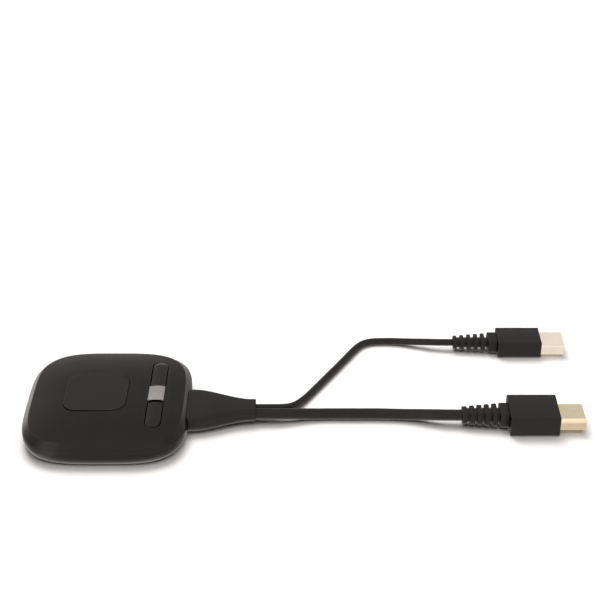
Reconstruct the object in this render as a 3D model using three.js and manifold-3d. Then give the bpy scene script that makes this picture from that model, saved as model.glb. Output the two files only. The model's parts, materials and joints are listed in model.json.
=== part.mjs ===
// Streaming media player: a rounded square puck with a press button and a slide control, two leads that
// leave it through one strain relief, an HDMI plug and a USB-A plug.
// Millimetres. Origin at the middle of the puck's base, +X along the leads, +Y to the back, +Z up.
import * as THREE from 'three';
import { mergeVertices } from 'three/addons/utils/BufferGeometryUtils.js';
import Module from 'manifold-3d';

const wasm = await Module();
wasm.setup();

// Puck
const PUCK_HALF_X = 35.2;
const PUCK_HALF_Y = 36.0;
const PUCK_TOP_Z = 13.0;
const PUCK_RING_POINTS = 64;
const BASE_Z = 0.4;
const SEAM_Z = 6.6;
const SEAM_GAP = 0.2;
const WALL = 1.6;
const FLOOR_TOP_Z = BASE_Z + WALL;
const BASE_ROUND_X = 2.0;
const BASE_ROUND_Z = 4.6;
const SHOULDER_INSET = 1.22;
const SHOULDER_Z = 8.4;
const CREASE_INSET = 2.6;
const CREASE_Z = 10.2;
const CREASE_CORNER_DROP = 0.35;
const DOME_POWER = 2.8;
const RIM_SQUARENESS = 3.9;
const BASE_SQUARENESS = 3.6;

// Press button and the switch below it
const BUTTON_X = -4.85;
const BUTTON_Y = -0.45;
const BUTTON_SIZE = 26.6;
const BUTTON_CORNER = 6;
const BUTTON_GAP = 0.25;
const BUTTON_TOP_Z = 13.05;
const BUTTON_FLANGE = 1.0;
const BUTTON_FLANGE_TOP_Z = 10.3;
const BUTTON_FLANGE_Z = 9.6;
const TACT_TOP_Z = 6.8;

// Slide control
const SLIDE_X = 20.85;
const SLIDE_Y = -0.7;
const RAIL_Y = 0.3;
const RAIL_WIDTH = 6.1;
const RAIL_LENGTH = 47.3;
const RAIL_EDGE_Z = 12.15;
const RAIL_CROWN = 0.45;
const RAIL_BOTTOM_Z = 8.9;
const SLOT_GAP = 0.43;
const KNOB_LENGTH = 10.3;
const KNOB_LEG = 0.25;
const KNOB_CLEARANCE = 0.08;
const SLIDE_TRAVEL = 14.5;
const CARRIAGE_Z = 7.7;
const CARRIAGE_TOP_Z = 8.6;
const FADER_X = 13.3;

// Circuit board
const BOARD_Z = 3.6;
const BOARD_TOP_Z = 4.8;
const PART_Z = BOARD_TOP_Z + 0.2;
const SCREW_SPREAD = 23.5;

// Strain relief and leads
const RELIEF_Y = -2.25;
const RELIEF_Z = 4.6;
const RELIEF_END_X = 63.35;
const RELIEF_WIDE = { width: 24.2, height: 8, corner: 3.5 };
const RELIEF_NARROW = { width: 11.5, height: 6.2, corner: 2.8 };
const HDMI_LEAD_DIAMETER = 4.9;
const USB_LEAD_DIAMETER = 3.2;
const JOINT_GAP = 0.3;
const FACE_GAP = 0.2;

// The route of each lead's centre line, from the strain relief to its plug
const HDMI_ROUTE = [
  [63.65, -4.7, 4.4], [68.5, -4.7, 4.4], [73, -4.5, 4.2], [78, -3.9, 3.8], [83.3, -3.0, 3.15],
  [88.5, -2.4, 2.65], [94.5, -2.1, 2.47], [101.5, -2.1, 2.47], [108.5, -2.1, 2.47], [116, -2.1, 2.47],
  [123, -2.4, 2.47], [128.2, -2.9, 2.7], [133.3, -3.8, 3.3], [138.4, -4.9, 4.05], [143.5, -5.8, 4.6],
  [148, -6.1, 4.75], [151.6, -6.1, 4.75],
];
const USB_ROUTE = [
  [63.65, -0.2, 4.4], [67.5, -0.2, 4.4], [71.3, 0.1, 4.2], [74.5, 0.8, 3.75], [77.3, 2.0, 3.2],
  [79.9, 4.0, 2.6], [82.3, 6.9, 2.1], [85.1, 11.0, 1.75], [88.7, 16.9, 1.62], [94.1, 26.0, 1.62],
  [99.6, 35.3, 1.62], [104.3, 43.4, 1.62], [107.2, 48.4, 1.62], [109.6, 52.0, 1.62], [112.4, 54.6, 1.62],
  [115.9, 56.0, 1.62], [120.4, 56.4, 1.62], [125.2, 56.3, 1.7], [130, 55.6, 2.0], [135, 54.5, 2.6],
  [140.3, 53.3, 3.3], [145.6, 52.3, 3.8], [149.8, 51.9, 4.0], [153.1, 51.9, 4.0],
];

// Plugs. Each lies on an axis (y, z), and its metal shell sits a little low and to the front of that.
// Sections are width, height, corner
const HDMI_PLUG = {
  name: 'hdmi', y: -6.1, z: 4.75, ribX: 151.9, ribPitch: 3.2, ribLength: 2.05, bodyX: 172.1, endX: 192.85,
  tipX: 204.0, body: [18, 9.5], chamfer: 0.6, collar: [10.8, 7.2, 2], firstRib: [8, 6, 2.4],
  lastRib: [10.5, 7, 2.4], core: [6.2, 5.3, 2.2], shell: [13.9, 4.45], wall: 0.35,
};
const USB_PLUG = {
  name: 'usb', y: 51.9, z: 4.0, ribX: 153.4, ribPitch: 3.2, ribLength: 1.7, bodyX: 173.95, endX: 193.6,
  tipX: 204.35, body: [14, 8], chamfer: 0.6, collar: [9.6, 6.6, 1.8], firstRib: [6.8, 5, 2],
  lastRib: [8.8, 6.2, 2], core: [4.8, 4.2, 1.8], shell: [12, 4.5], wall: 0.3,
};
const RIB_COUNT = 5;
const SHELL_SHIFT = { y: -0.35, z: -0.25 };
const SHELL_DEPTH_IN_BODY = 7;
const SHELL_BEVEL = [2.1, 0.8];
const CARRIER_LENGTH = 8.5;

// Materials
const material = (color, roughness, metalness) => new THREE.MeshStandardMaterial({ color, roughness, metalness });
const gloss = material(0x0a0a0b, 0.18, 0);
const satin = material(0x0d0d0d, 0.4, 0);
const rubber = material(0x101010, 0.7, 0);
const silver = material(0xa8a39c, 0.4, 0.6);
const steel = material(0xb8b8b8, 0.3, 1);
const nickel = material(0xe0d8cc, 0.3, 1);
const gold = material(0xcdbb86, 0.3, 1);
const board = material(0x14402a, 0.5, 0);
const chip = material(0x1c1c1e, 0.5, 0);
const insulator = material(0x1a1a1a, 0.5, 0);
const paleInsulator = material(0xe6e2d8, 0.5, 0);
const pad = material(0x8a94a0, 0.8, 0);

const group = new THREE.Group();

function add(name, geometry, finish) {
  const mesh = new THREE.Mesh(geometry, finish);
  mesh.name = name;
  group.add(mesh);
}

// Booleans
function solid(geometry) {
  const plain = geometry.index ? geometry.toNonIndexed() : geometry.clone();
  plain.deleteAttribute('normal');
  plain.deleteAttribute('uv');
  const merged = mergeVertices(plain, 1e-4);
  return new wasm.Manifold(new wasm.Mesh({
    numProp: 3,
    vertProperties: new Float32Array(merged.attributes.position.array),
    triVerts: new Uint32Array(merged.index.array),
  }));
}

function toGeometry(shape) {
  const mesh = shape.getMesh();
  const geometry = new THREE.BufferGeometry();
  geometry.setAttribute('position', new THREE.BufferAttribute(new Float32Array(mesh.vertProperties), 3));
  geometry.setIndex(new THREE.BufferAttribute(new Uint32Array(mesh.triVerts), 1));
  return geometry;
}

// Basic shapes, as geometry already in place
function box(x, y, z) {
  const size = [x, y, z].map(([low, high]) => high - low);
  const middle = [x, y, z].map(([low, high]) => (low + high) / 2);
  return new THREE.BoxGeometry(...size).translate(...middle);
}

function post(x, y, radius, lowZ, highZ, sides = 20) {
  const geometry = new THREE.CylinderGeometry(radius, radius, highZ - lowZ, sides);
  return geometry.rotateX(Math.PI / 2).translate(x, y, (lowZ + highZ) / 2);
}

// A closed solid through rings of equal point count; each ring runs anticlockwise seen along the stack
function ringSolid(rings) {
  const count = rings[0].length;
  const points = rings.flat();
  const faces = [];
  for (let level = 0; level < rings.length - 1; level += 1) {
    for (let i = 0; i < count; i += 1) {
      const next = (i + 1) % count;
      const [a, b] = [level * count + i, level * count + next];
      faces.push(a, b, b + count, a, b + count, a + count);
    }
  }
  for (const [level, flip] of [[0, true], [rings.length - 1, false]]) {
    const middle = new THREE.Vector3();
    rings[level].forEach((point) => middle.addScaledVector(point, 1 / count));
    points.push(middle);
    for (let i = 0; i < count; i += 1) {
      const [a, b] = [level * count + i, level * count + ((i + 1) % count)];
      faces.push(points.length - 1, flip ? b : a, flip ? a : b);
    }
  }
  const geometry = new THREE.BufferGeometry().setFromPoints(points);
  geometry.setIndex(faces);
  return geometry;
}

// Outline of a rounded rectangle, as [u, v] pairs
function roundedOutline(width, height, corner, steps = 4) {
  const outline = [];
  for (let quarter = 0; quarter < 4; quarter += 1) {
    const signU = quarter === 0 || quarter === 3 ? 1 : -1;
    const signV = quarter < 2 ? 1 : -1;
    for (let step = 0; step <= steps; step += 1) {
      const angle = (Math.PI / 2) * (quarter + step / steps);
      const u = signU * (width / 2 - corner) + corner * Math.cos(angle);
      const v = signV * (height / 2 - corner) + corner * Math.sin(angle);
      outline.push([u, v]);
    }
  }
  return outline;
}

// A prism standing on a rounded rectangle
function roundedPrism(x, y, width, depth, corner, lowZ, highZ, steps = 6) {
  const outline = roundedOutline(width, depth, corner, steps);
  return ringSolid([lowZ, highZ].map((z) => outline.map(([u, v]) => new THREE.Vector3(x + u, y + v, z))));
}

// A ring across +X: sections of strain reliefs and plugs
function sectionRing(x, y, z, outline) {
  return outline.map(([u, v]) => new THREE.Vector3(x, y + u, z + v));
}

// Puck surfaces
function puckRing(inset, z, squareness, cornerDrop = 0) {
  const ring = [];
  for (let i = 0; i < PUCK_RING_POINTS; i += 1) {
    const angle = (2 * Math.PI * i) / PUCK_RING_POINTS;
    const [c, s] = [Math.cos(angle), Math.sin(angle)];
    const x = (PUCK_HALF_X - inset) * Math.sign(c) * Math.abs(c) ** (2 / squareness);
    const y = (PUCK_HALF_Y - inset) * Math.sign(s) * Math.abs(s) ** (2 / squareness);
    ring.push(new THREE.Vector3(x, y, z - cornerDrop * Math.sin(2 * angle) ** 2));
  }
  return ring;
}

function domeRings(inset, edgeZ, topZ) {
  const edge = puckRing(inset, edgeZ, RIM_SQUARENESS, CREASE_CORNER_DROP);
  return [1, 0.94, 0.86, 0.75, 0.6, 0.4, 0.18].map((scale) => edge.map((point) => new THREE.Vector3(
    point.x * scale,
    point.y * scale,
    point.z + (topZ - point.z) * (1 - scale ** DOME_POWER),
  )));
}

function baseRings(offset, bottomZ) {
  return [90, 66, 44, 22, 0].map((degrees) => {
    const angle = THREE.MathUtils.degToRad(degrees);
    const inset = BASE_ROUND_X * (1 - Math.cos(angle)) + offset;
    const z = bottomZ + (BASE_Z + BASE_ROUND_Z - bottomZ) * (1 - Math.sin(angle));
    const squareness = THREE.MathUtils.lerp(RIM_SQUARENESS, BASE_SQUARENESS, degrees / 90);
    return puckRing(inset, z, squareness);
  });
}

function lowerBody(offset, bottomZ, rimZ) {
  return solid(ringSolid([...baseRings(offset, bottomZ), puckRing(offset, rimZ, RIM_SQUARENESS)]));
}

function upperBody(offset, rimZ, topOffset) {
  return solid(ringSolid([
    puckRing(offset, rimZ, RIM_SQUARENESS),
    puckRing(SHOULDER_INSET + offset, SHOULDER_Z - topOffset * 0.6, RIM_SQUARENESS),
    ...domeRings(CREASE_INSET + offset, CREASE_Z - topOffset, PUCK_TOP_Z - topOffset),
  ]));
}

const screwPlaces = [[1, 1], [-1, 1], [-1, -1], [1, -1]].map(([x, y]) => [x * SCREW_SPREAD, y * SCREW_SPREAD]);
const clampScrewPlaces = [RELIEF_Y - 9.5, RELIEF_Y + 9.5].map((y) => [27, y]);

function neckWindow() {
  return solid(box([30, 38], [RELIEF_Y - 9.9, RELIEF_Y + 9.9], [2.3, 7.6]));
}

// Shells
function topShell() {
  let shell = upperBody(0, SEAM_Z + SEAM_GAP / 2, 0).subtract(upperBody(WALL, SEAM_Z - 1, WALL));
  for (const [x, y] of screwPlaces) {
    shell = shell.add(solid(post(x, y, 2.5, BOARD_TOP_Z + FACE_GAP, 9.9)));
    shell = shell.subtract(solid(post(x, y, 1.15, 3, 8.5, 14)));
  }
  const hole = BUTTON_SIZE + 2 * BUTTON_GAP;
  const corner = BUTTON_CORNER + BUTTON_GAP;
  shell = shell.subtract(solid(roundedPrism(BUTTON_X, BUTTON_Y, hole, hole, corner, 8.7, 15)));
  const slot = RAIL_WIDTH + 2 * SLOT_GAP;
  const slotLength = RAIL_LENGTH + 2 * SLOT_GAP;
  const slotFloor = RAIL_BOTTOM_Z - FACE_GAP;
  shell = shell.subtract(solid(roundedPrism(SLIDE_X, RAIL_Y, slot, slotLength, slot / 2 - 0.01, slotFloor, 15)));
  return shell.subtract(neckWindow());
}

function bottomShell() {
  const rim = SEAM_Z - SEAM_GAP / 2;
  let shell = lowerBody(0, BASE_Z, rim).subtract(lowerBody(WALL, FLOOR_TOP_Z, SEAM_Z + 1));
  for (const [x, y] of screwPlaces) {
    shell = shell.add(solid(post(x, y, 3.5, FLOOR_TOP_Z - 0.5, BOARD_Z - FACE_GAP)));
    shell = shell.subtract(solid(post(x, y, 1.3, 0, 4, 14)));
    shell = shell.subtract(solid(post(x, y, 2.2, 0, 2.3)));
    shell = shell.subtract(solid(post(x, y, 4.8, 0, 0.9, 28)));
  }
  for (const [x, y] of clampScrewPlaces) {
    shell = shell.add(solid(post(x, y, 2.2, FLOOR_TOP_Z - 0.5, 5.6)));
    shell = shell.subtract(solid(post(x, y, 0.95, 2.8, 6, 12)));
  }
  shell = shell.add(solid(box([25.6, 27.6], [RELIEF_Y - 6.5, RELIEF_Y + 6.5], [FLOOR_TOP_Z - 0.5, 2.7])));
  return shell.subtract(neckWindow());
}

// Button: a cap with a skirt, a retaining flange and a stem over the switch
function mainButton() {
  const bevel = 0.35;
  const outline = (grow, z) => roundedOutline(BUTTON_SIZE + 2 * grow, BUTTON_SIZE + 2 * grow, BUTTON_CORNER + grow, 6)
    .map(([u, v]) => new THREE.Vector3(BUTTON_X + u, BUTTON_Y + v, z));
  const cap = solid(ringSolid([
    outline(BUTTON_FLANGE, BUTTON_FLANGE_Z), outline(BUTTON_FLANGE, BUTTON_FLANGE_TOP_Z),
    outline(0, BUTTON_FLANGE_TOP_Z), outline(0, BUTTON_TOP_Z - bevel), outline(-bevel, BUTTON_TOP_Z),
  ]));
  const hollow = BUTTON_SIZE - 2.4;
  const inside = solid(roundedPrism(BUTTON_X, BUTTON_Y, hollow, hollow, BUTTON_CORNER - 1.2, 9, 12));
  return cap.subtract(inside).add(solid(post(BUTTON_X, BUTTON_Y, 2, 8.2, 12.5)));
}

// Crowned pill-shaped rail on two legs that stand on the board
function railTop(lengthwise) {
  const [halfX, halfY] = [SLIDE_X / (PUCK_HALF_X - CREASE_INSET), lengthwise / (PUCK_HALF_Y - CREASE_INSET)];
  const reach = (halfX ** 4 + halfY ** 4) ** 0.25;
  return CREASE_Z + (PUCK_TOP_Z - CREASE_Z) * (1 - reach ** DOME_POWER);
}

function sliderRail() {
  const half = RAIL_WIDTH / 2;
  const outline = roundedOutline(RAIL_WIDTH, RAIL_LENGTH, half - 0.01, 6);
  const ring = (scale, z) => outline.map(([u, v]) => {
    const y = Math.sign(v) * Math.max(Math.abs(v) - (1 - scale) * half, 0);
    return new THREE.Vector3(SLIDE_X + u * scale, RAIL_Y + y, z(RAIL_Y + y));
  });
  const flat = (z) => () => z;
  const bar = solid(ringSolid([
    ring(1, flat(RAIL_BOTTOM_Z)), ring(1, (y) => railTop(y) + 0.05), ring(0.88, (y) => railTop(y) + 0.3),
    ring(0.5, (y) => railTop(y) + RAIL_CROWN),
  ]));
  const leg = (side) => solid(box(
    [SLIDE_X - 2.9, SLIDE_X - 0.6],
    side > 0 ? [RAIL_Y + 20.5, RAIL_Y + 23] : [RAIL_Y - 23, RAIL_Y - 20.5],
    [PART_Z, RAIL_BOTTOM_Z + 0.5],
  ));
  return bar.add(leg(1)).add(leg(-1));
}

// Arched saddle that straddles the rail, with a thin leg in the gap on each side
function sliderKnob() {
  const inner = RAIL_WIDTH / 2 + KNOB_CLEARANCE;
  const outer = inner + KNOB_LEG;
  const edgeZ = RAIL_EDGE_Z + 0.75;
  const crown = 0.3;
  const arch = new THREE.Shape();
  arch.moveTo(-outer, RAIL_EDGE_Z - 1.2);
  arch.lineTo(-inner, RAIL_EDGE_Z - 1.2);
  arch.lineTo(-inner, RAIL_EDGE_Z + RAIL_CROWN + 0.1);
  arch.lineTo(inner, RAIL_EDGE_Z + RAIL_CROWN + 0.1);
  arch.lineTo(inner, RAIL_EDGE_Z - 1.2);
  arch.lineTo(outer, RAIL_EDGE_Z - 1.2);
  arch.lineTo(outer, edgeZ - 0.3);
  arch.lineTo(outer - 0.25, edgeZ);
  arch.quadraticCurveTo(0, edgeZ + 2 * crown, 0.25 - outer, edgeZ);
  arch.lineTo(-outer, edgeZ - 0.3);
  const extrude = { depth: KNOB_LENGTH, bevelEnabled: false, curveSegments: 10 };
  const saddle = new THREE.ExtrudeGeometry(arch, extrude);
  saddle.rotateX(Math.PI / 2).translate(SLIDE_X, SLIDE_Y + KNOB_LENGTH / 2, 0);
  let knob = solid(saddle);
  for (const side of [-1, 1]) {
    const reach = [side * inner, side * outer].sort((a, b) => a - b).map((x) => SLIDE_X + x);
    knob = knob.add(solid(box(reach, [SLIDE_Y - 3.8, SLIDE_Y + 3.8], [CARRIAGE_Z - 0.1, RAIL_EDGE_Z - 1])));
  }
  return knob;
}

// Plate that the saddle's legs clip into, reaching over to the fader's lever
function sliderCarriage() {
  let plate = solid(box([FADER_X - 1.8, SLIDE_X + 4.15], [SLIDE_Y - 4.5, SLIDE_Y + 4.5], [CARRIAGE_Z, CARRIAGE_TOP_Z]));
  for (const side of [-1, 1]) {
    const x = SLIDE_X + side * (RAIL_WIDTH / 2 + KNOB_CLEARANCE + KNOB_LEG / 2);
    plate = plate.subtract(solid(box([x - 0.4, x + 0.4], [SLIDE_Y - 4, SLIDE_Y + 4], [7, 9])));
  }
  return plate.subtract(solid(box([FADER_X - 0.6, FADER_X + 0.6], [SLIDE_Y - 1.8, SLIDE_Y + 1.8], [7, 9])));
}

function faderBody() {
  const reach = SLIDE_TRAVEL + 5.5;
  const body = solid(box([FADER_X - 2.9, FADER_X + 2.9], [SLIDE_Y - reach, SLIDE_Y + reach], [PART_Z, 7.3]));
  const track = SLIDE_TRAVEL + 2.5;
  return body.subtract(solid(box([FADER_X - 0.6, FADER_X + 0.6], [SLIDE_Y - track, SLIDE_Y + track], [5.6, 8])));
}

// Board with holes at the screws and a bay for the strain relief
function circuitBoard() {
  const outline = (z) => puckRing(5.6, z, RIM_SQUARENESS);
  let plate = solid(ringSolid([outline(BOARD_Z), outline(BOARD_TOP_Z)]));
  for (const [x, y] of screwPlaces) {
    plate = plate.subtract(solid(post(x, y, 1.4, 3, 6, 14)));
  }
  return plate.subtract(solid(box([22.2, 34], [RELIEF_Y - 12.6, RELIEF_Y + 12.6], [3, 6])));
}

function shieldCan() {
  const can = solid(box([-27, -11], [-10, 12], [PART_Z, 7.4]));
  return can.subtract(solid(box([-26.6, -11.4], [-9.6, 11.6], [4.5, 7.0])));
}

function tactSwitch() {
  const body = solid(box([BUTTON_X - 3, BUTTON_X + 3], [BUTTON_Y - 3, BUTTON_Y + 3], [PART_Z, TACT_TOP_Z]));
  return body.subtract(solid(post(BUTTON_X, BUTTON_Y, 1.8, 5.5, 8)));
}

// A screw with its head low (headUp false) or high (headUp true), as a turned profile
function screw(x, y, headRadius, shankRadius, lowZ, highZ, headHeight, headUp) {
  const length = highZ - lowZ;
  const radii = headUp ? [[shankRadius, length - headHeight], [headRadius, length]]
    : [[headRadius, headHeight], [shankRadius, length]];
  const profile = [
    [0, 0], [radii[0][0], 0], [radii[0][0], radii[0][1]], [radii[1][0], radii[0][1]], [radii[1][0], length], [0, length],
  ].map(([r, z]) => new THREE.Vector2(r, z));
  return new THREE.LatheGeometry(profile, 16).rotateX(Math.PI / 2).translate(x, y, lowZ);
}

function foot(x, y) {
  const profile = [[0, 0], [4.1, 0], [4.5, 0.2], [4.5, 0.7], [0, 0.7]].map(([r, z]) => new THREE.Vector2(r, z));
  return new THREE.LatheGeometry(profile, 24).rotateX(Math.PI / 2).translate(x, y, 0);
}

function clampBar() {
  let bar = solid(box([25.4, 28.6], [RELIEF_Y - 12, RELIEF_Y + 12], [5.8, 7.4]));
  for (const [x, y] of clampScrewPlaces) {
    bar = bar.subtract(solid(post(x, y, 1.05, 5, 8, 12)));
  }
  return bar;
}

// Tapered strain relief: a flared sleeve shaped to the puck's wall, a neck and an inner flange
function reliefSection(x) {
  const flare = 1 - THREE.MathUtils.smoothstep(x, 36, 62);
  const mix = (key) => THREE.MathUtils.lerp(RELIEF_NARROW[key], RELIEF_WIDE[key], flare);
  return sectionRing(x, RELIEF_Y, RELIEF_Z, roundedOutline(mix('width'), mix('height'), mix('corner')));
}

function cableBoot() {
  const stations = [32.5, 36, 39, 42, 45, 48, 51, 54, 57, 60, RELIEF_END_X];
  let boot = solid(ringSolid(stations.map(reliefSection)));
  const clear = -JOINT_GAP;
  const wall = lowerBody(clear, BASE_Z - 3, SEAM_Z + 0.01).add(upperBody(clear, SEAM_Z, clear));
  boot = boot.subtract(wall);
  const neck = roundedOutline(19, 4.6, 1.5);
  boot = boot.add(solid(ringSolid([31, 37].map((x) => sectionRing(x, RELIEF_Y, 4.95, neck)))));
  return boot.add(solid(box([29.5, 31.5], [RELIEF_Y - 11.3, RELIEF_Y + 11.3], [2.3, 8])));
}

// A round cord along a route
function cord(route, diameter, sides, steps) {
  const path = new THREE.CatmullRomCurve3(route.map((point) => new THREE.Vector3(...point)));
  const section = new THREE.Shape();
  for (let i = 0; i < sides; i += 1) {
    const angle = (2 * Math.PI * i) / sides;
    const [u, v] = [(diameter / 2) * Math.cos(angle), (diameter / 2) * Math.sin(angle)];
    if (i === 0) section.moveTo(u, v);
    else section.lineTo(u, v);
  }
  section.closePath();
  return new THREE.ExtrudeGeometry(section, { steps, extrudePath: path, bevelEnabled: false });
}

// Ribbed boot behind a plug
function plugBoot(plug) {
  const outline = (section) => roundedOutline(...section);
  const rings = [];
  for (let rib = 0; rib < RIB_COUNT; rib += 1) {
    const start = plug.ribX + rib * plug.ribPitch;
    const part = rib / (RIB_COUNT - 1);
    const section = plug.firstRib.map((size, i) => THREE.MathUtils.lerp(size, plug.lastRib[i], part));
    rings.push([start, section], [start + plug.ribLength, section]);
    rings.push([start + plug.ribLength, plug.core], [start + plug.ribPitch, plug.core]);
  }
  const collarX = plug.ribX + RIB_COUNT * plug.ribPitch;
  rings.push([collarX, plug.collar], [plug.bodyX - JOINT_GAP, plug.collar]);
  return ringSolid(rings.map(([x, section]) => sectionRing(x, plug.y, plug.z, outline(section))));
}

function chamferedOutline(width, height, cut) {
  const [u, v] = [width / 2, height / 2];
  return [[u, cut - v], [u, v - cut], [u - cut, v], [cut - u, v], [-u, v - cut], [-u, cut - v], [cut - u, -v], [u - cut, -v]];
}

// The HDMI shell is narrower above, with a bevel each side; the USB shell is a plain rectangle
function shellOutline(plug, grow) {
  const [u, v] = [plug.shell[0] / 2 + grow, plug.shell[1] / 2 + grow];
  if (plug.name === 'usb') return [[u, -v], [u, v], [-u, v], [-u, -v]];
  const [across, down] = SHELL_BEVEL;
  return [[u, -v], [u, v - down], [u - across, v], [across - u, v], [-u, v - down], [-u, -v]];
}

function shellAxis(plug) {
  return [plug.y + SHELL_SHIFT.y, plug.z + SHELL_SHIFT.z];
}

function plugPrism(plug, grow, lowX, highX) {
  const outline = shellOutline(plug, grow);
  return solid(ringSolid([lowX, highX].map((x) => sectionRing(x, ...shellAxis(plug), outline))));
}

function plugBody(plug) {
  const [width, height] = plug.body;
  const bevel = 0.4;
  const full = chamferedOutline(width, height, plug.chamfer);
  const small = chamferedOutline(width - 2 * bevel, height - 2 * bevel, plug.chamfer);
  const rings = [[plug.bodyX, small], [plug.bodyX + bevel, full], [plug.endX - bevel, full], [plug.endX, small]];
  const block = solid(ringSolid(rings.map(([x, outline]) => sectionRing(x, plug.y, plug.z, outline))));
  return block.subtract(plugPrism(plug, JOINT_GAP, plug.endX - SHELL_DEPTH_IN_BODY - JOINT_GAP, plug.endX + 5));
}

function plugShell(plug) {
  const back = plug.endX - SHELL_DEPTH_IN_BODY;
  return plugPrism(plug, 0, back, plug.tipX).subtract(plugPrism(plug, -plug.wall, back - 1, plug.tipX + 1));
}

function hdmiCarrier(plug) {
  const back = plug.endX - SHELL_DEPTH_IN_BODY + 0.5;
  const block = plugPrism(plug, -plug.wall - 0.1, back, plug.tipX - 1.6);
  const [y, z] = shellAxis(plug);
  const slot = box([back + CARRIER_LENGTH, plug.tipX], [y - 5, y + 5], [z - 1.1, z + 0.9]);
  return block.subtract(solid(slot));
}

function usbCarrier(plug) {
  const back = plug.endX - SHELL_DEPTH_IN_BODY + 0.5;
  const block = plugPrism(plug, -plug.wall - 0.1, back, plug.tipX - 0.8);
  const [y, z] = shellAxis(plug);
  const mouth = box([back + CARRIER_LENGTH, plug.tipX + 1], [y - 9, y + 9], [z - 0.1, z + 3]);
  return block.subtract(solid(mouth));
}

function usbContact(plug, place) {
  const pitch = [-3.5, -1, 1, 3.5][place];
  const start = plug.endX + 2.6;
  const [y, z] = shellAxis(plug);
  return box([start, plug.tipX - 1.6], [y + pitch - 0.5, y + pitch + 0.5], [z, z + 0.25]);
}

// Puck
add('top_shell', toGeometry(topShell()), gloss);
add('bottom_shell', toGeometry(bottomShell()), gloss);
add('main_button', toGeometry(mainButton()), satin);
add('slider_rail', toGeometry(sliderRail()), gloss);
add('slider_knob', toGeometry(sliderKnob()), silver);
screwPlaces.forEach(([x, y], i) => {
  add(`foot_${i + 1}`, foot(x, y), rubber);
  add(`shell_screw_${i + 1}`, screw(x, y, 1.9, 1.0, 1.0, 8.2, 1.1, false), steel);
});

// Works inside
add('slider_carriage', toGeometry(sliderCarriage()), chip);
add('fader_body', toGeometry(faderBody()), steel);
add('fader_lever', box([FADER_X - 0.3, FADER_X + 0.3], [SLIDE_Y - 1.5, SLIDE_Y + 1.5], [5.8, 8.9]), paleInsulator);
add('circuit_board', toGeometry(circuitBoard()), board);
add('tact_switch', toGeometry(tactSwitch()), steel);
add('tact_plunger', post(BUTTON_X, BUTTON_Y, 1.6, 6.2, 8), insulator);
add('shield_can', toGeometry(shieldCan()), steel);
add('main_processor', box([-24, -14], [-1, 9], [PART_Z, 6.2]), chip);
add('memory_chip', box([-23, -15], [-8.6, -2.6], [PART_Z, 6.0]), chip);
add('thermal_pad', box([-23.5, -14.5], [-0.5, 8.5], [6.4, 6.8]), pad);
add('heat_spreader', box([-28, -10], [-11, 13], [7.6, 8.6]), steel);
add('wifi_module', box([-10, 4], [17, 27], [PART_Z, 6.6]), steel);
add('power_inductor', box([-9, -2], [-25, -18], [PART_Z, 8]), chip);
add('antenna_rear', box([-13, 13], [31.2, 32], [4, 8]), gold);
add('antenna_left', box([-31.4, -30.6], [-12, 12], [4, 8]), gold);
add('hdmi_board_socket', box([17.4, 21.6], [-10, -2], [PART_Z, 7.3]), paleInsulator);
add('usb_board_socket', box([17.4, 21.6], [-1.2, 4], [PART_Z, 7.3]), paleInsulator);
add('cable_clamp', toGeometry(clampBar()), chip);
clampScrewPlaces.forEach(([x, y], i) => {
  add(`clamp_screw_${i + 1}`, screw(x, y, 1.6, 0.8, 3.2, 8.6, 1.0, true), steel);
});
for (const [name, y, socketY, diameter] of [['hdmi_wires', -4.7, -5.8, 2.4], ['usb_wires', -0.2, 1.2, 1.6]]) {
  const middle = (y + socketY) / 2;
  const route = [[29.2, y, 4.35], [26.2, y, 4.35], [24.4, middle, 4.95], [23, socketY, 5.9], [21.9, socketY, 6.1]];
  add(name, cord(route, diameter, 8, 10), chip);
}

// Leads and plugs
add('cable_boot', toGeometry(cableBoot()), rubber);
add('hdmi_cable', cord(HDMI_ROUTE, HDMI_LEAD_DIAMETER, 12, 28), rubber);
add('usb_cable', cord(USB_ROUTE, USB_LEAD_DIAMETER, 8, 44), rubber);
for (const [plug, finish, lining] of [[HDMI_PLUG, gold, insulator], [USB_PLUG, nickel, paleInsulator]]) {
  add(`${plug.name}_plug_boot`, plugBoot(plug), rubber);
  add(`${plug.name}_plug_body`, toGeometry(plugBody(plug)), rubber);
  add(`${plug.name}_plug_shell`, toGeometry(plugShell(plug)), finish);
  const carrier = plug.name === 'usb' ? usbCarrier(plug) : hdmiCarrier(plug);
  add(`${plug.name}_contact_carrier`, toGeometry(carrier), lining);
}
for (let place = 0; place < 4; place += 1) {
  add(`usb_contact_${place + 1}`, usbContact(USB_PLUG, place), gold);
}

export default group;
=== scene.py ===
"""Streaming media player: camera, leads, detailed pieces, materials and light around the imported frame.

Shapes are worked out in millimetres in the row frame and stored in metres.
"""

import json
import math

import bmesh
import bpy
import numpy as np
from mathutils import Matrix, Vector
from mathutils.geometry import delaunay_2d_cdt


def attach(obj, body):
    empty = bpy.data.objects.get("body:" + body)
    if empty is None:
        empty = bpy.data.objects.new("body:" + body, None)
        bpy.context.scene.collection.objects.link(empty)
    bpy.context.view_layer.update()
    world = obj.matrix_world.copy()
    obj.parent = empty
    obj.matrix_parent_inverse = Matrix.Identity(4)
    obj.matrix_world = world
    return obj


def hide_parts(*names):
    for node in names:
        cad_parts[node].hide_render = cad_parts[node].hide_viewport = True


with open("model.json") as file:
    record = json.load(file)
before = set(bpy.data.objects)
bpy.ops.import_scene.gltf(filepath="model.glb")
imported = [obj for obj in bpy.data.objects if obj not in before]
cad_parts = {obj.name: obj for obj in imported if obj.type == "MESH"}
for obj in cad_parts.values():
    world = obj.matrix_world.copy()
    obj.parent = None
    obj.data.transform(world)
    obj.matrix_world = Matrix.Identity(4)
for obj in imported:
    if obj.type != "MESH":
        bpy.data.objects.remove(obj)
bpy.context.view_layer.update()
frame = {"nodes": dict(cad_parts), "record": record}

MM = 0.001
TAU = 2 * math.pi

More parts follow.
